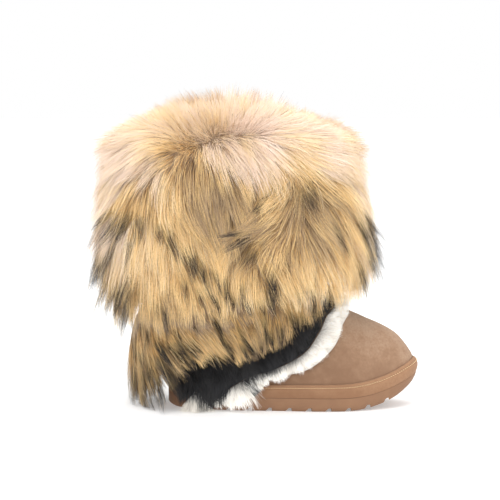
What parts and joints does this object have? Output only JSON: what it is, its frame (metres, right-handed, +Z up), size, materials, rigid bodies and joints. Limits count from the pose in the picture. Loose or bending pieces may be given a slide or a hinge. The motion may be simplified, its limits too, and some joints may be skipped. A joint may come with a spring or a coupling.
{
  "type": "fur-trimmed ankle boot",
  "caption": "Suede winter ankle boot on a thick lugged sole, with a deep cuff and skirt of long fur and a short black and white fur trim along the vamp.",
  "frame": {"origin": "on the floor, in the middle of the sole's heel block", "axes": "+X towards the toe, +Y towards the inner side of the foot, +Z up"},
  "size_m": [0.3472, 0.2883, 0.331],
  "materials": {
    "suede": "napped suede",
    "rand_suede": "napped suede, stitched",
    "rubber": "matt moulded rubber",
    "fleece": "woolly fleece",
    "long_fur": "long guard hair over grey-brown underfur",
    "black_fur": "short black fur",
    "white_fur": "short white fur"
  },
  "bodies": {
    "root": {"outsole": "rubber", "rand": "rand_suede", "insole": "fleece", "upper": "suede", "collar_fur": "long_fur", "skirt_fur": "long_fur", "black_trim": "black_fur", "white_trim": "white_fur", "white_tuft_lateral": "white_fur", "white_tuft_medial": "white_fur"}
  },
  "joints": []
}
